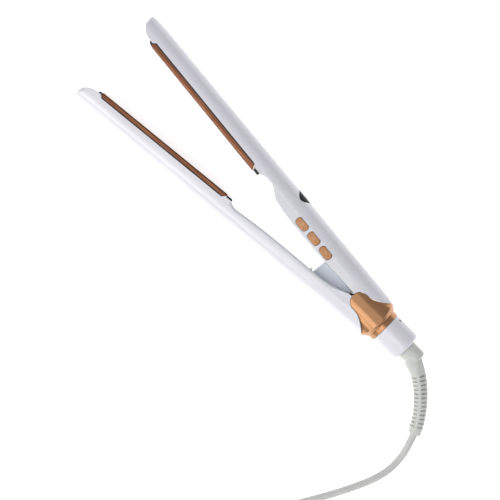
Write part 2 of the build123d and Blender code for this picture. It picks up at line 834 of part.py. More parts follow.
with BuildPart() as lock_ring:
    add(
        turned(
            [
                (RING_FRONT, RING_INNER),
                (RING_FRONT, RING_RADIUS),
                (TAIL_END, RING_RADIUS),
                (TAIL_END, SLEEVE_RADIUS + CLEAR),
                (RING_WALL, SLEEVE_RADIUS + CLEAR),
                (RING_WALL, RING_INNER),
                (136.2, RING_INNER),
                (136.2, 11.1),
                (129.4, 11.1),
                (129.4, RING_INNER),
            ]
        )
    )
    outer_edges = lock_ring.edges().filter_by(GeomType.CIRCLE).filter_by(lambda edge: edge.radius > 12)
    fillet(outer_edges.sort_by(Axis.X)[-1], radius=3.0)
    fillet(outer_edges.sort_by(Axis.X)[0], radius=0.3)
    with BuildSketch(DOT_SEAT):
        Circle(DOT_RADIUS)
    extrude(amount=2, mode=Mode.SUBTRACT)
save(lock_ring.part, "lock_ring")

with BuildPart() as lock_dot:
    with BuildSketch(DOT_SEAT):
        Circle(DOT_RADIUS)
    extrude(amount=0.52)
save(lock_dot.part, "lock_dot")

# ---- cord: swivel collar, strain relief, cord, coil, plug ----------------------------------------
save(
    turned([(143.0, 3.2), (143.0, 9.2), (145.8, 9.2), (145.8, 5.0), (149.6, 5.0), (149.6, 3.2)]),
    "swivel_collar",
)

# middle line of the ribbed relief: place, heading in degrees from +X, and radius
RELIEF = (
    ((158.0, -2.0, 14.0), -10, 6.7),
    ((163.5, -4.1, 13.9), -22, 6.15),
    ((170.8, -7.8, 13.4), -33, 5.5),
    ((178.7, -13.8, 12.5), -41, 5.2),
    ((186.1, -21.1, 11.3), -49, 5.0),
    ((192.8, -29.6, 9.9), -57, 4.9),
    ((198.3, -39.3, 8.1), -65, 4.8),
)
RELIEF_DIP = -0.16  # how much the far part of the relief points down


def heading(angle, dip=0.0):
    """Direction over the table at an angle from +X, dipping towards the table."""
    return Vector(math.cos(math.radians(angle)), math.sin(math.radians(angle)), dip)


# slots that make the relief bend: their number, spacing and what stays solid between them
SLOT_COUNT = 13
SLOT_PITCH = 3.08
SLOT_START = 14.0  # first slot, along the middle line
SLOT_THICKNESS = 1.25
SLOT_CORE = 3.55  # radius left round the cord
SPINE_WIDTH = 2.3
SPINE_TURN = 10.0  # degrees from the top

with BuildPart() as relief_slots:
    with BuildLine():
        middle_line = Spline(*[place for place, _, _ in RELIEF])
    for step in range(SLOT_COUNT):
        station = SLOT_START + step * SLOT_PITCH
        spot = middle_line.position_at(station, position_mode=PositionMode.LENGTH)
        along = middle_line.tangent_at(station, position_mode=PositionMode.LENGTH)
        with BuildSketch(Plane(origin=spot, x_dir=(0, 0, 1), z_dir=along)):
            Circle(SLEEVE_RADIUS)
            Circle(SLOT_CORE, mode=Mode.SUBTRACT)
            with Locations(Rotation(0, 0, SPINE_TURN)):
                Rectangle(SPINE_WIDTH, 2 * SLEEVE_RADIUS, mode=Mode.SUBTRACT)
                Rectangle(2 * SLEEVE_RADIUS, SPINE_WIDTH, mode=Mode.SUBTRACT)
        extrude(amount=SLOT_THICKNESS / 2, both=True)

with BuildPart() as strain_relief:
    for place, angle, radius in RELIEF:
        dip = RELIEF_DIP * (place[0] - RELIEF[0][0][0]) / 40
        with BuildSketch(Plane(origin=place, x_dir=(0, 0, 1), z_dir=heading(angle, dip))):
            Circle(radius)
    loft()
    with BuildSketch(Plane.XY.offset(MID)):
        with BuildLine():
            Polyline((149.6, 0), (149.6, 5), (146.4, 5), (146.4, SLEEVE_RADIUS))
            Line((146.4, SLEEVE_RADIUS), (160.2, SLEEVE_RADIUS))
            TangentArc((160.2, SLEEVE_RADIUS), (162.4, SLEEVE_RADIUS - 2.2), tangent=(1, 0))
            Polyline((162.4, SLEEVE_RADIUS - 2.2), (162.4, 0), (149.6, 0))
        make_face()
    revolve(axis=TAIL_AXIS)
    add(relief_slots.part, mode=Mode.SUBTRACT)
save(strain_relief.part, "strain_relief")


def cord_tube(points):
    """A cord along straight runs joined by tangent arcs as large as the runs allow."""
    spots = [Vector(*point) for point in points]
    runs = [after - before for before, after in zip(spots, spots[1:])]
    radii = []
    for before, after in zip(runs, runs[1:]):
        turn_angle = math.radians(before.get_angle(after))
        radii.append(0.45 * min(before.length, after.length) / math.tan(turn_angle / 2))
    with BuildPart() as tube:
        with BuildLine() as route:
            FilletPolyline(*points, radius=radii)
        with BuildSketch(Plane(origin=points[0], z_dir=runs[0])):
            Circle(CORD_DIAMETER / 2)
        sweep()
    length = sum(edge.length for edge in route.edges())
    expected = length * math.pi * CORD_DIAMETER**2 / 4
    print("radii", [round(radius, 1) for radius in radii], "length", round(length, 1),
          "volume", round(tube.part.volume), "expected", round(expected))
    return tube.part, length


CORD_ROUTE = (
    (198.3, -39.3, 8.1),
    (202.4, -49.8, 5.2),
    (205.0, -61.0, 3.2),
    (204.6, -74.5, TABLE_CORD),
    (200.6, -87.5, TABLE_CORD),
    (192.2, -105.5, TABLE_CORD),
    (182.6, -122.9, TABLE_CORD),
    (171.3, -141.9, TABLE_CORD),
    (161.4, -161.1, TABLE_CORD),
)
PLUG_ROUTE = (
    (199.0, -208.4, 19.2),
    (212.5, -206.9, 18.4),
    (225.6, -202.8, 15.2),
    (236.6, -195.4, 10.6),
    (243.6, -184.6, 7.0),
)
mains_cord, mains_length = cord_tube(CORD_ROUTE)
save(mains_cord, "mains_cord")
plug_cord, plug_length = cord_tube(PLUG_ROUTE)
save(plug_cord, "plug_cord")
coil_turns = (CORD_LENGTH - mains_length - plug_length) / (2 * math.pi * COIL_RADIUS)
print("turns in the coil", round(coil_turns, 2))

with BuildPart() as cord_coil:
    half_bundle = COIL_LAYERS * CORD_DIAMETER / 2
    with BuildSketch(Plane.XZ):
        with Locations((COIL_RADIUS, half_bundle)):
            RectangleRounded(2 * half_bundle, 2 * half_bundle, CORD_DIAMETER / 2)
    revolve(axis=Axis.Z)
save(Pos(COIL_CENTRE[0], COIL_CENTRE[1], 0) * cord_coil.part, "cord_coil")

plug_heading = Vector(*PLUG_ROUTE[-1]) - Vector(*PLUG_ROUTE[-2])
plug_heading = Vector(plug_heading.X, plug_heading.Y, 0).normalized()
plug_rear = Vector(*PLUG_ROUTE[-1])

with BuildPart() as plug_body:
    for distance, width, height in ((0, 9, 8.5), (9, 14, 11.5), (20, 27, 13.2), (PLUG_LENGTH, 34.6, 13.6)):
        section = Plane(origin=plug_rear + plug_heading * distance, x_dir=(0, 0, 1), z_dir=plug_heading)
        with BuildSketch(section):
            RectangleRounded(height, width, 4.0)
    loft()
save(plug_body.part, "plug_body")

plug_face = Plane(origin=plug_rear + plug_heading * PLUG_LENGTH, x_dir=(0, 0, 1), z_dir=plug_heading)
with BuildPart() as plug_pins:
    with BuildSketch(plug_face):
        with Locations((0, PLUG_PIN_OFFSET), (0, -PLUG_PIN_OFFSET)):
            Circle(PLUG_PIN_RADIUS)
    extrude(amount=PLUG_PIN_LENGTH)
save(plug_pins.part, "plug_pins")
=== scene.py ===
"""Looks of a white and rose-gold hair straightener that lies open on its side.

Metres, in the part's own frame: +X from the tips towards the cord, +Y towards the control arm, +Z up.
"""

import json
import math

import bmesh
import bpy
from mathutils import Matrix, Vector


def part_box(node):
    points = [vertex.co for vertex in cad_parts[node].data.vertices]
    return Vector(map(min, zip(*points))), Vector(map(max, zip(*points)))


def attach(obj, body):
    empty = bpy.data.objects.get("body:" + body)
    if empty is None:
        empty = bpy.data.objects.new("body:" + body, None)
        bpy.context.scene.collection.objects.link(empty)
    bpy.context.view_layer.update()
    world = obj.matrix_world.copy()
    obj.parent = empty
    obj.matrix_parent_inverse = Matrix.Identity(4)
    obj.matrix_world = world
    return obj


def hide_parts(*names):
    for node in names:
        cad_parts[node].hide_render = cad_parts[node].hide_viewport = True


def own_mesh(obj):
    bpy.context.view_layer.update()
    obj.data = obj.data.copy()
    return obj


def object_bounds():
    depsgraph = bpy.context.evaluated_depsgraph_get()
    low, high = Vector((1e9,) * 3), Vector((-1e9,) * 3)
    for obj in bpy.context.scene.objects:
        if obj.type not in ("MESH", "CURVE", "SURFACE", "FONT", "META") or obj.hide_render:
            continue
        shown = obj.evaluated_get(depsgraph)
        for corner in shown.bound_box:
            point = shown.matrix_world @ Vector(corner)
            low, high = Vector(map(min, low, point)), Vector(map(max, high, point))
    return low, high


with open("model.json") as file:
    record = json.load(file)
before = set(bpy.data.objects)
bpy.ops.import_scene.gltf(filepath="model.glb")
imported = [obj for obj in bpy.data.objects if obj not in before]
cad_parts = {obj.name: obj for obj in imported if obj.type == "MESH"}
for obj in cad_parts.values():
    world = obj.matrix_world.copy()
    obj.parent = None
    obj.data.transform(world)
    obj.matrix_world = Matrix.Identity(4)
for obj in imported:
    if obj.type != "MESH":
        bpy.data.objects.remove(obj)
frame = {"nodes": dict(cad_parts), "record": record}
cad_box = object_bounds()
nodes = frame["nodes"]

MM = 0.001
BODY_LOW, BODY_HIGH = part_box("hinge_cover")
MIDDLE = (BODY_LOW.z + BODY_HIGH.z) / 2


# ---- camera, floor and light ------------------------------------------------------------------------
VIEW_CENTRE = (0.0194, -0.0295)
VIEW_WIDTH = 0.36275
VIEW_TURN = math.radians(45)
CAMERA_DISTANCE = 1.5


def add_camera():
    """A long lens straight above the object, turned so that the tail points down and to the right."""
    data = bpy.data.cameras.new("camera")
    data.sensor_width = 36
    data.lens = data.sensor_width * CAMERA_DISTANCE / VIEW_WIDTH
    data.clip_end = 10
    camera = bpy.data.objects.new("camera", data)
    camera.location = (VIEW_CENTRE[0], VIEW_CENTRE[1], MIDDLE + CAMERA_DISTANCE)
    camera.rotation_euler = (0, 0, VIEW_TURN)
    bpy.context.scene.collection.objects.link(camera)
    bpy.context.scene.camera = camera


def add_area(name, place, target, size, power, colour):
    """A soft area light at a place, aimed at a target."""
    data = bpy.data.lights.new(name, "AREA")
    data.shape = "DISK"
    data.size = size
    data.energy = power
    data.color = colour
    light = bpy.data.objects.new(name, data)
    light.location = place
    aim = Vector(target) - Vector(place)
    light.rotation_euler = aim.to_track_quat("-Z", "Y").to_euler()
    light.visible_camera = False
    bpy.context.scene.collection.objects.link(light)


LIGHT_AIM = (0.03, 0.0, MIDDLE)


def add_light():
    """A key light from the lower arm's side, a broad one above, a weak one behind the tail, a pale room."""
    world = bpy.data.worlds.new("surround")
    bpy.context.scene.world = world
    world.use_nodes = True
    background = world.node_tree.nodes["Background"]
    background.inputs["Color"].default_value = (0.91, 0.92, 0.98, 1)
    background.inputs["Strength"].default_value = 0.39
    add_area("key", (-0.15, -0.95, 0.8), LIGHT_AIM, 0.7, 4.6, (1.0, 0.985, 0.96))
    add_area("above", (-0.1, -0.42, 1.3), LIGHT_AIM, 0.95, 4.9, (0.98, 0.98, 1.0))
    add_area("tail", (0.75, -0.35, 0.45), LIGHT_AIM, 0.35, 0.8, (1.0, 0.97, 0.93))


FLOOR_SIZE = 4.0
FLOOR_GAP = 0.2 * MM


def add_floor():
    """A plain pale floor under the object."""
    mesh = bpy.data.meshes.new("floor")
    form = bmesh.new()
    bmesh.ops.create_grid(form, x_segments=8, y_segments=8, size=FLOOR_SIZE)
    form.to_mesh(mesh)
    form.free()
    floor = bpy.data.objects.new("floor", mesh)
    floor.location = (0, 0, cad_box[0][2] - FLOOR_GAP)
    bpy.context.scene.collection.objects.link(floor)
    mesh.materials.append(floor_paper())


# ---- materials --------------------------------------------------------------------------------------
def linear(red, green, blue):
    """A colour given on the usual 0 to 255 scale, as the shader wants it."""
    def channel(value):
        value /= 255
        return value / 12.92 if value <= 0.04045 else ((value + 0.055) / 1.055) ** 2.4

    return channel(red), channel(green), channel(blue), 1.0


def start_material(name):
    """A new node material, with its tree and its main shader."""
    material = bpy.data.materials.new(name)
    material.use_nodes = True
    tree = material.node_tree
    return material, tree, tree.nodes["Principled BSDF"]


def place_of(tree, stretch=(1, 1, 1)):
    """Places in the object's own frame, stretched."""
    coordinates = tree.nodes.new("ShaderNodeTexCoord")
    mapping = tree.nodes.new("ShaderNodeMapping")
    mapping.inputs["Scale"].default_value = stretch
    tree.links.new(coordinates.outputs["Object"], mapping.inputs["Vector"])
    return mapping.outputs["Vector"]


def noise(tree, place, scale, detail=3.0, roughness=0.5):
    """A noise over places, as a value from 0 to 1."""
    texture = tree.nodes.new("ShaderNodeTexNoise")
    texture.inputs["Scale"].default_value = scale
    texture.inputs["Detail"].default_value = detail
    texture.inputs["Roughness"].default_value = roughness
    tree.links.new(place, texture.inputs["Vector"])
    return texture.outputs["Fac"]


def spread(tree, value, low, high, start=0.3, end=0.7):
    """A value moved from one range to another."""
    ranged = tree.nodes.new("ShaderNodeMapRange")
    ranged.inputs["From Min"].default_value = start
    ranged.inputs["From Max"].default_value = end
    ranged.inputs["To Min"].default_value = low
    ranged.inputs["To Max"].default_value = high
    tree.links.new(value, ranged.inputs["Value"])
    return ranged.outputs["Result"]


def shade(tree, value, stops):
    """A value turned into colour by a ramp of (position, colour) stops."""
    ramp = tree.nodes.new("ShaderNodeValToRGB")
    ramp.color_ramp.elements[0].position = stops[0][0]
    ramp.color_ramp.elements[0].color = stops[0][1]
    ramp.color_ramp.elements[1].position = stops[-1][0]
    ramp.color_ramp.elements[1].color = stops[-1][1]
    for position, colour in stops[1:-1]:
        ramp.color_ramp.elements.new(position).color = colour
    tree.links.new(value, ramp.inputs["Fac"])
    return ramp.outputs["Color"]


def emboss(tree, shader, value, height, strength=1.0, under=None):
    """A bump of a height in metres, on top of another bump if one is given."""
    bump = tree.nodes.new("ShaderNodeBump")
    bump.inputs["Strength"].default_value = strength
    bump.inputs["Distance"].default_value = height
    tree.links.new(value, bump.inputs["Height"])
    if under is not None:
        tree.links.new(under, bump.inputs["Normal"])
    tree.links.new(bump.outputs["Normal"], shader.inputs["Normal"])
    return bump.outputs["Normal"]


def edge_highlight_mask(tree, radius, low, high):
    """How much a point is on an edge, where highlights are painted: the normal's turn within a radius, from
    0 to 1.
    """
    bevel = tree.nodes.new("ShaderNodeBevel")
    bevel.samples = 4
    bevel.inputs["Radius"].default_value = radius
    geometry = tree.nodes.new("ShaderNodeNewGeometry")
    product = tree.nodes.new("ShaderNodeVectorMath")
    product.operation = "DOT_PRODUCT"
    tree.links.new(bevel.outputs["Normal"], product.inputs[0])
    tree.links.new(geometry.outputs["True Normal"], product.inputs[1])
    return spread(tree, product.outputs["Value"], high, low, 0.8, 1.0)


def blend_colour(tree, factor, first, second):
    """Two colours mixed by a factor; each is a colour or a socket."""
    mix = tree.nodes.new("ShaderNodeMix")
    mix.data_type = "RGBA"
    tree.links.new(factor, mix.inputs["Factor"])
    for socket, colour in ((mix.inputs[6], first), (mix.inputs[7], second)):
        if isinstance(colour, tuple):
            socket.default_value = colour
        else:
            tree.links.new(colour, socket)
    return mix.outputs[2]


def floor_paper():
    """Pale studio paper."""
    material, tree, shader = start_material("studio_paper")
    place = place_of(tree)
    tone = noise(tree, place, 3.0)
    colour = shade(tree, tone, [(0.3, (0.93, 0.93, 0.93, 1)), (0.7, (0.95, 0.95, 0.95, 1))])
    tree.links.new(colour, shader.inputs["Base Color"])
    shader.inputs["Roughness"].default_value = 0.95
    shader.inputs["Specular IOR Level"].default_value = 0.05
    shader.inputs["Emission Color"].default_value = (1, 1, 1, 1)
    shader.inputs["Emission Strength"].default_value = 0.7
    emboss(tree, shader, noise(tree, place, 900.0), 0.00002, 0.2)
    return material


def moulded_plastic(name, colour, rough, grain, coat=0.0, handled=0.04):
    """Moulded plastic: a fine skin, faint flow marks and patches where hands have dulled it."""
    material, tree, shader = start_material(name)
    place = place_of(tree)
    flow = noise(tree, place_of(tree, (6, 30, 30)), 3.0, 4.0)
    darker = tuple(channel * 0.955 for channel in colour[:3]) + (1.0,)
    tree.links.new(shade(tree, flow, [(0.35, darker), (0.6, colour)]), shader.inputs["Base Color"])
    patches = noise(tree, place, 38.0, 5.0, 0.6)
    tree.links.new(spread(tree, patches, rough, rough + handled), shader.inputs["Roughness"])
    shader.inputs["Coat Weight"].default_value = coat
    shader.inputs["Coat Roughness"].default_value = 0.08
    orange_peel = emboss(tree, shader, noise(tree, place, 420.0, 2.0), 0.00004, 0.12)
    emboss(tree, shader, noise(tree, place, 4200.0, 2.0), grain, 0.25, orange_peel)
    return material


def rose_gold_lacquer():
    """Metallic lacquer over plastic, with fine flakes and a painted highlight on its edges."""
    material, tree, shader = start_material("rose_gold_lacquer")
    place = place_of(tree)
    flakes = noise(tree, place, 5200.0, 2.0)
    body = shade(tree, flakes, [(0.3, linear(178, 124, 80)), (0.7, linear(202, 152, 110))])
    # Painted highlight: the edges get a paler rose gold, standing in for light caught on them.
    edge = edge_highlight_mask(tree, 0.0005, 0.0, 0.75)
    tree.links.new(blend_colour(tree, edge, body, linear(236, 204, 166)), shader.inputs["Base Color"])
    shader.inputs["Metallic"].default_value = 0.86
    smears = noise(tree, place, 60.0, 5.0, 0.6)
    tree.links.new(spread(tree, smears, 0.27, 0.36), shader.inputs["Roughness"])
    shader.inputs["Coat Weight"].default_value = 0.35
    shader.inputs["Coat Roughness"].default_value = 0.12
    emboss(tree, shader, flakes, 0.000012, 0.35)
    return material


def copper_coating():
    """The plates' coating: satin copper with fine lines along the plate and a painted highlight on its
    edges.
    """
    material, tree, shader = start_material("copper_coating")
    lines = noise(tree, place_of(tree, (6, 900, 900)), 3.0, 3.0)
    body = shade(
        tree,
        lines,
        [(0.25, linear(100, 60, 42)), (0.55, linear(138, 88, 62)), (0.8, linear(184, 132, 98))],
    )
    # Painted highlight: the edges get a paler copper, standing in for light on the plates' bevelled sides.
    edge = edge_highlight_mask(tree, 0.0004, 0.0, 0.6)
    tree.links.new(blend_colour(tree, edge, body, linear(190, 140, 108)), shader.inputs["Base Color"])
    shader.inputs["Metallic"].default_value = 0.8
    residue = noise(tree, place_of(tree), 90.0, 6.0, 0.65)
    tree.links.new(spread(tree, residue, 0.26, 0.42), shader.inputs["Roughness"])
    emboss(tree, shader, lines, 0.00001, 0.3)
    return material


def matte_black():
    """Heat-resistant black plastic with a spark-eroded grain."""
    material, tree, shader = start_material("matte_black")
    place = place_of(tree)
    tone = noise(tree, place, 70.0, 5.0)
    colour = shade(tree, tone, [(0.3, (0.012, 0.012, 0.013, 1)), (0.75, (0.03, 0.03, 0.032, 1))])
    tree.links.new(colour, shader.inputs["Base Color"])
    tree.links.new(spread(tree, tone, 0.42, 0.6), shader.inputs["Roughness"])
    emboss(tree, shader, noise(tree, place, 2600.0, 4.0, 0.7), 0.00003, 0.5)
    return material


def display_window():
    """Glossy black window, a little dusty."""
    material, tree, shader = start_material("display_window")
    place = place_of(tree)
    tint = noise(tree, place, 45.0, 3.0)
    colour = shade(tree, tint, [(0.35, (0.006, 0.006, 0.008, 1)), (0.7, (0.022, 0.022, 0.025, 1))])
    tree.links.new(colour, shader.inputs["Base Color"])
    smears = noise(tree, place_of(tree, (20, 60, 60)), 4.0, 5.0, 0.65)
    tree.links.new(spread(tree, smears, 0.05, 0.16), shader.inputs["Roughness"])
    shader.inputs["Specular IOR Level"].default_value = 0.05
    emboss(tree, shader, noise(tree, place, 160.0, 2.0), 0.00004, 0.15)
    return material


def metal(name, dark, light, rough, stretch):
    """Bare metal with drawn or turned lines and stains."""
    material, tree, shader = start_material(name)
    lines = noise(tree, place_of(tree, stretch), 4.0, 4.0, 0.6)
    stains = noise(tree, place_of(tree), 120.0, 5.0, 0.6)
    tree.links.new(shade(tree, lines, [(0.3, dark), (0.7, light)]), shader.inputs["Base Color"])
    shader.inputs["Metallic"].default_value = 1.0
    tree.links.new(spread(tree, stains, rough, rough + 0.15), shader.inputs["Roughness"])
    emboss(tree, shader, lines, 0.00001, 0.3)
    return material


def soft_sheath(name, colour, rough, dust):
    """Flexible moulding or cord sheath: matt, slightly mottled, with a waxy sheen."""
    material, tree, shader = start_material(name)
    place = place_of(tree)
    mottle = noise(tree, place, 130.0, 6.0, 0.6)
    darker = tuple(channel * 0.9 for channel in colour[:3]) + (1.0,)
    specks = noise(tree, place, 1500.0, 2.0)
    body = shade(tree, mottle, [(0.35, darker), (0.6, colour)])
    marked = blend_colour(tree, spread(tree, specks, 0.0, dust, 0.62, 0.8), body, linear(120, 116, 106))
    tree.links.new(marked, shader.inputs["Base Color"])
    tree.links.new(spread(tree, mottle, rough, rough + 0.12), shader.inputs["Roughness"])
    shader.inputs["Subsurface Weight"].default_value = 0.08
    shader.inputs["Subsurface Radius"].default_value = (0.002, 0.002, 0.0015)
    shader.inputs["Sheen Weight"].default_value = 0.15
    emboss(tree, shader, noise(tree, place, 900.0, 3.0), 0.00003, 0.35)
    return material


def insulation(name, first, second):
    """Wire insulation, silicone and ceramic: a slightly patchy matt colour."""
    material, tree, shader = start_material(name)
    place = place_of(tree)
    tone = noise(tree, place, 220.0, 4.0)
    tree.links.new(shade(tree, tone, [(0.3, first), (0.7, second)]), shader.inputs["Base Color"])
    tree.links.new(spread(tree, tone, 0.45, 0.65), shader.inputs["Roughness"])
    emboss(tree, shader, noise(tree, place, 1800.0, 3.0), 0.00002, 0.4)
    return material


WHITE_SHELL = moulded_plastic("white_shell", linear(237, 236, 241), 0.24, 0.000004, coat=0.45)
WHITE_PANEL = moulded_plastic("white_panel", linear(240, 241, 244), 0.36, 0.00001, coat=0.1)
# The guard is the same white plastic as the shell; its darker bluish grey is painted shade.
SHADED_GUARD_WHITE = moulded_plastic("guard_grey", linear(212, 218, 226), 0.38, 0.00001)
GREY_PLASTIC = moulded_plastic("grey_plastic", linear(150, 152, 156), 0.45, 0.00002)
DOT_GREY = moulded_plastic("dot_grey", linear(62, 62, 68), 0.4, 0.00001)
ROSE_GOLD = rose_gold_lacquer()
COPPER_PLATE = copper_coating()
BLACK = matte_black()
WINDOW = display_window()
STEEL = metal("bright_steel", (0.38, 0.38, 0.4, 1), (0.66, 0.66, 0.68, 1), 0.26, (60, 60, 600))
NICKEL = metal("nickel", (0.56, 0.54, 0.5, 1), (0.78, 0.76, 0.72, 1), 0.16, (200, 200, 200))
CORD_SHEATH = soft_sheath("cord_sheath", linear(209, 209, 206), 0.42, 0.2)
RELIEF_RUBBER = soft_sheath("relief_rubber", linear(214, 216, 208), 0.46, 0.25)
SILICONE = insulation("silicone", linear(150, 60, 44), linear(178, 78, 58))
LEAD_RED = insulation("lead_red", linear(150, 24, 20), linear(188, 40, 32))
CERAMIC = insulation("ceramic", linear(206, 200, 186), linear(228, 222, 210))
BOARD = insulation("circuit_board", linear(16, 72, 38), linear(28, 98, 54))

FINISHES = {
    "white_shell": WHITE_SHELL,
    "white_panel": WHITE_PANEL,
    "rose_gold": ROSE_GOLD,
    "copper_plate": COPPER_PLATE,
    "black_plastic": BLACK,
    "grey_plastic": GREY_PLASTIC,
    "display_black": WINDOW,
    "board_green": BOARD,
    "steel": STEEL,
    "heater_ceramic": CERAMIC,
    "silicone": SILICONE,
    "lead_red": LEAD_RED,
    # The guard's slot gets the white plastic with painted shade.
    "guard_grey": SHADED_GUARD_WHITE,
    "dot_grey": DOT_GREY,
    "cord_pale": CORD_SHEATH,
    "relief_pale": RELIEF_RUBBER,
    "pin_nickel": NICKEL,
}


def finish_nodes():
    """Give each CAD node the finish that its material slot names."""
    for subpart in frame["record"]["subparts"]:
        node = nodes[subpart["node"]]
        node.data.materials.clear()
        node.data.materials.append(FINISHES[subpart["material_slot"]])


# ---- cord -------------------------------------------------------------------------------------------
CORD_DIAMETER = 5.5 * MM
TABLE_CORD = CORD_DIAMETER / 2
CORD_ROUTE = (
    (0.1983, -0.0393, 0.0081),
    (0.2024, -0.0498, 0.0052),
    (0.2050, -0.0610, 0.0032),
    (0.2046, -0.0745, TABLE_CORD),
    (0.2006, -0.0875, TABLE_CORD),
    (0.1922, -0.1055, TABLE_CORD),
    (0.1826, -0.1229, TABLE_CORD),
    (0.1713, -0.1419, TABLE_CORD),
    (0.1614, -0.1611, TABLE_CORD),
)
PLUG_ROUTE = (
    (0.1990, -0.2084, 0.0192),
    (0.2125, -0.2069, 0.0184),
    (0.2256, -0.2028, 0.0152),
    (0.2366, -0.1954, 0.0106),
    (0.2436, -0.1846, 0.0070),
)
COIL_CENTRE = Vector((0.1939, -0.1776, 0))
COIL_LAYERS = 3
TURNS_PER_LAYER = 3
COIL_OUTER = 36.0 * MM
POINTS_PER_TURN = 16
CROSSING = 0.15  # share of a turn in which the cord moves to its next place in the coil


def coil_places():
    """Radius and layer of each turn: in along the floor, out over it, in again, the end on top."""
    places = []
    for layer in range(COIL_LAYERS):
        radii = [COIL_OUTER - step * CORD_DIAMETER for step in range(TURNS_PER_LAYER)]
        if layer % 2:
            radii.reverse()
        places += [(radius, layer) for radius in radii]
    places[-1] = (places[-2][0], COIL_LAYERS)
    return places


def coil_points():
    """The coil's turns, from where the cord comes in to where the plug's end leaves."""
    start = (Vector(CORD_ROUTE[-1]) - COIL_CENTRE).to_2d()
    end = (Vector(PLUG_ROUTE[0]) - COIL_CENTRE).to_2d()
    start_angle = math.atan2(start.y, start.x)
    end_angle = math.atan2(end.y, end.x) + math.tau
    places = coil_places()
    turns = len(places) - 1 + (end_angle - start_angle) / math.tau
    count = round(turns * POINTS_PER_TURN)
    half_step = math.tau * turns / count / 2
    inside = 0.75 + 0.25 * math.cos(2 * half_step)  # the spline runs this far inside its points
    climbs = [places[step][1] != places[step + 1][1] for step in range(len(places) - 1)]
    points = []
    for index in range(1, count):
        passed = turns * index / count
        turn = min(int(passed), len(places) - 1)
        radius, layer = places[turn]
        if turn < len(climbs):
            crossing_start = 1 - CROSSING * (1 + sum(climbs[: turn + 1]))
            share = min(max((passed - turn - crossing_start) / CROSSING, 0), 1)
            share = share * share * (3 - 2 * share)
            radius += (places[turn + 1][0] - radius) * share
            layer += (places[turn + 1][1] - layer) * share
        angle = start_angle + math.tau * passed
        reach = radius / inside
        height = TABLE_CORD + layer * CORD_DIAMETER
        points.append(
            (COIL_CENTRE.x + reach * math.cos(angle), COIL_CENTRE.y + reach * math.sin(angle), height)
        )
    return points


def add_cord():
    """The mains cord from its strain relief, along the floor, through its coil, to the plug."""
    data = bpy.data.curves.new("mains_flex", "CURVE")
    data.dimensions = "3D"
    data.resolution_u = 6
    data.bevel_depth = CORD_DIAMETER / 2
    data.bevel_resolution = 6
    data.use_fill_caps = True
    points = [*CORD_ROUTE, *coil_points(), *PLUG_ROUTE]
    spline = data.splines.new("NURBS")
    spline.points.add(len(points) - 1)
    for point, place in zip(spline.points, points):
        point.co = (*place, 1)
    spline.order_u = 3
    spline.use_endpoint_u = True
    flex = bpy.data.objects.new("mains_flex", data)
    bpy.context.scene.collection.objects.link(flex)
    data.materials.append(CORD_SHEATH)
    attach(flex, "cord")
    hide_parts("mains_cord", "cord_coil", "plug_cord")
    return flex


# ---- the pieces made here ---------------------------------------------------------------------------
def mesh_piece(name, form, material, body):
    """A finished mesh as a piece that rides on a body."""
    mesh = bpy.data.meshes.new(name)
    form.to_mesh(mesh)
    form.free()
    piece = bpy.data.objects.new(name, mesh)
    bpy.context.scene.collection.objects.link(piece)
    mesh.materials.append(material)
    mesh.shade_smooth()
    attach(piece, body)
    return piece


def skin_rings(form, rings):
    """Close a row of equal rings of points into one skin, with a cap on each end."""
    layers = [[form.verts.new(point) for point in ring] for ring in rings]
    count = len(layers[0])
    for first, second in zip(layers, layers[1:]):
        for step in range(count):
            after = (step + 1) % count
            form.faces.new((first[step], first[after], second[after], second[step]))
    form.faces.new(list(reversed(layers[0])))
    form.faces.new(layers[-1])
    bmesh.ops.recalc_face_normals(form, faces=form.faces)


def rounded_square(around, power):
    """Where an angle meets a unit circle drawn out towards a square, more so the lower the power is."""
    cosine, sine = math.cos(around), math.sin(around)
    return math.copysign(abs(cosine) ** power, cosine), math.copysign(abs(sine) ** power, sine)


HINGE = Vector((101.8 * MM, 0, MIDDLE))
OPEN_ANGLE = math.radians(5.75)


def arm_directions(side):
    """Along an open arm towards the tail, and from the plane between the closed arms into that arm."""
    along = Vector((math.cos(OPEN_ANGLE), -side * math.sin(OPEN_ANGLE), 0))
    inward = Vector((math.sin(OPEN_ANGLE), side * math.cos(OPEN_ANGLE), 0))
    return along, inward


SPRING_TURNS = 6
SPRING_WIRE = 0.45 * MM
SPRING_RADIUS = 2.9 * MM
SPRING_LEAN = 0.5 * MM  # how far each end lies from the line straight across the arms
SPRING_STEPS = 24
SPRING_SIDES = 8
END_TURN = 0.8  # the part of an end turn that lies flat
END_RISE = 0.06  # share of the length taken by each end turn


def add_spring():
    """The opening spring: a coil with closed end turns, which rides on the control arm."""
    low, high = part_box("arm_spring")
    foot = Vector(((low.x + high.x) / 2 + SPRING_LEAN, low.y + SPRING_WIRE, MIDDLE))
    head = Vector(((low.x + high.x) / 2 - SPRING_LEAN, high.y - SPRING_WIRE, MIDDLE))
    axis = (head - foot).normalized()
    across = axis.orthogonal().normalized()
    beside = axis.cross(across)
    reach = (head - foot).length
    open_turns = SPRING_TURNS + 2 * (1 - END_TURN)
    rings = []
    for index in range((SPRING_TURNS + 2) * SPRING_STEPS + 1):
        turn = index / SPRING_STEPS
        ends = min(turn, 1) + max(turn - SPRING_TURNS - 1, 0)
        rise = min(max((turn - END_TURN) / open_turns, 0), 1)
        rise = (rise * (1 - 2 * END_RISE) + END_RISE * ends) * reach
        angle = math.tau * turn
        outward = across * math.cos(angle) + beside * math.sin(angle)
        centre = foot + axis * rise + outward * SPRING_RADIUS
        ring = []
        for side in range(SPRING_SIDES):
            around = math.tau * side / SPRING_SIDES
            ring.append(centre + (outward * math.cos(around) + axis * math.sin(around)) * SPRING_WIRE)
        rings.append(ring)
    form = bmesh.new()
    skin_rings(form, rings)
    spring = mesh_piece("opening_spring", form, STEEL, "control_arm")
    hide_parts("arm_spring")
    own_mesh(spring)


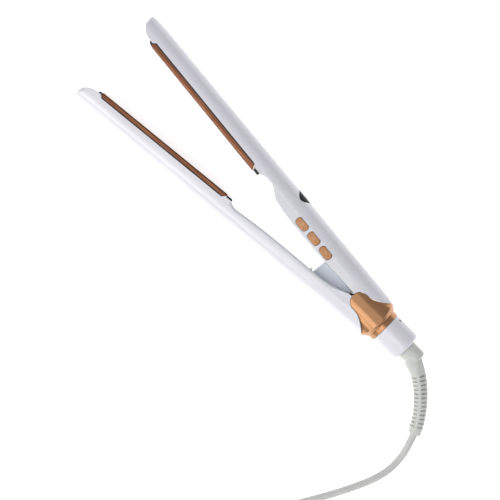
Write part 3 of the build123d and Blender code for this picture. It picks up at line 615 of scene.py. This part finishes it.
PAD_LENGTH = 11.0 * MM
PAD_WIDTH = 7.0 * MM
PAD_FLOOR = 5.2 * MM  # from the plane between the closed arms
PAD_THICKNESS = 2.1 * MM
PAD_BULGE = 0.15 * MM
PAD_MIDDLES = (-207.5 * MM, -157.5 * MM)  # from the hinge
PAD_STEPS = 8
PAD_CORNERS = 32
PAD_POWER = 0.4


def add_pads(arm, side):
    """An arm's two silicone pads, which ride on the arm."""
    along, inward = arm_directions(side)
    form = bmesh.new()
    for middle in PAD_MIDDLES:
        rings = []
        for index in range(PAD_STEPS + 1):
            share = index / PAD_STEPS
            bulge = PAD_BULGE * math.sin(math.pi * share)
            centre = HINGE + along * middle + inward * (PAD_FLOOR + PAD_THICKNESS * share)
            ring = []
            for corner in range(PAD_CORNERS):
                across, upward = rounded_square(math.tau * corner / PAD_CORNERS, PAD_POWER)
                across *= PAD_LENGTH / 2 - PAD_BULGE + bulge
                upward *= PAD_WIDTH / 2 - PAD_BULGE + bulge
                ring.append(centre + along * across + Vector((0, 0, upward)))
            rings.append(ring)
        skin_rings(form, rings)
    pads = mesh_piece(f"{arm}_soft_pads", form, SILICONE, f"{arm}_arm")
    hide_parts(f"{arm}_float_pads")
    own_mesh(pads)


# A black block that fills the gap at the hinge cover's nose, as painted shade.
GAP_SHADE_OUTLINE = ((-9.15, -3.6), (-7.5, -3.1), (-7.45, -0.3), (-9.15, -0.3))  # mm from the hinge
GAP_SHADE_HEIGHTS = (20.5 * MM, 21.55 * MM)


def add_gap_shade_block():
    """A small black block between the guard's rear end and the hinge cover's nose: painted shade, standing
    for the dark gap there.
    """
    along, inward = arm_directions(1)
    form = bmesh.new()
    rings = []
    for height in GAP_SHADE_HEIGHTS:
        foot = Vector((HINGE.x, HINGE.y, height))
        rings.append([foot + along * x * MM + inward * y * MM for x, y in GAP_SHADE_OUTLINE])
    skin_rings(form, rings)
    shade_block = mesh_piece("gap_shade_block", form, BLACK, "control_arm")
    shade_block.data.shade_flat()


PLUG_STATIONS = (  # mm: distance from the plug's rear, half width, half height
    (0.0, 4.3, 4.2),
    (2.0, 4.7, 4.5),
    (8.0, 6.3, 5.4),
    (12.0, 8.6, 6.0),
    (17.0, 11.8, 6.4),
    (24.0, 14.6, 6.6),
    (31.0, 16.6, 6.8),
    (35.2, 17.2, 6.8),
    (36.0, 16.5, 6.2),
)
GRIP_START = 10.0
GRIP_END = 26.0
GRIP_PITCH = 2.6
GRIP_DEPTH = 0.35
PLUG_STEPS = 90
PLUG_CORNERS = 48
PLUG_POWER = 0.62


def add_plug():
    """The flat plug, with finger ridges across its grip."""
    rear = Vector(PLUG_ROUTE[-1])
    pins_low, pins_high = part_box("plug_pins")
    heading = Vector(((pins_low.x + pins_high.x) / 2 - rear.x, (pins_low.y + pins_high.y) / 2 - rear.y, 0))
    heading.normalize()
    beside = Vector((-heading.y, heading.x, 0))
    length = PLUG_STATIONS[-1][0]
    rings = []
    for index in range(PLUG_STEPS + 1):
        distance = length * index / PLUG_STEPS
        for first, second in zip(PLUG_STATIONS, PLUG_STATIONS[1:]):
            if first[0] <= distance <= second[0]:
                share = (distance - first[0]) / (second[0] - first[0])
                half_width = first[1] + (second[1] - first[1]) * share
                half_height = first[2] + (second[2] - first[2]) * share
        if GRIP_START < distance < GRIP_END:
            ridge = 0.5 + 0.5 * math.cos(math.tau * (distance - GRIP_START) / GRIP_PITCH)
            half_width -= GRIP_DEPTH * (1 - ridge)
            half_height -= GRIP_DEPTH * (1 - ridge)
        ring = []
        for corner in range(PLUG_CORNERS):
            across, upward = rounded_square(math.tau * corner / PLUG_CORNERS, PLUG_POWER)
            centre = rear + heading * distance * MM + beside * across * half_width * MM
            ring.append(centre + Vector((0, 0, upward * half_height * MM)))
        rings.append(ring)
    form = bmesh.new()
    skin_rings(form, rings)
    plug = mesh_piece("plug_moulding", form, CORD_SHEATH, "cord")
    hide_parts("plug_body")
    return plug


# ---- putting it together ----------------------------------------------------------------------------
add_camera()
flex = add_cord()
plug = add_plug()
add_light()
add_floor()
finish_nodes()
add_spring()
add_pads("control", 1)
add_pads("lower", -1)
add_gap_shade_block()
bpy.context.scene.view_settings.view_transform = "Standard"
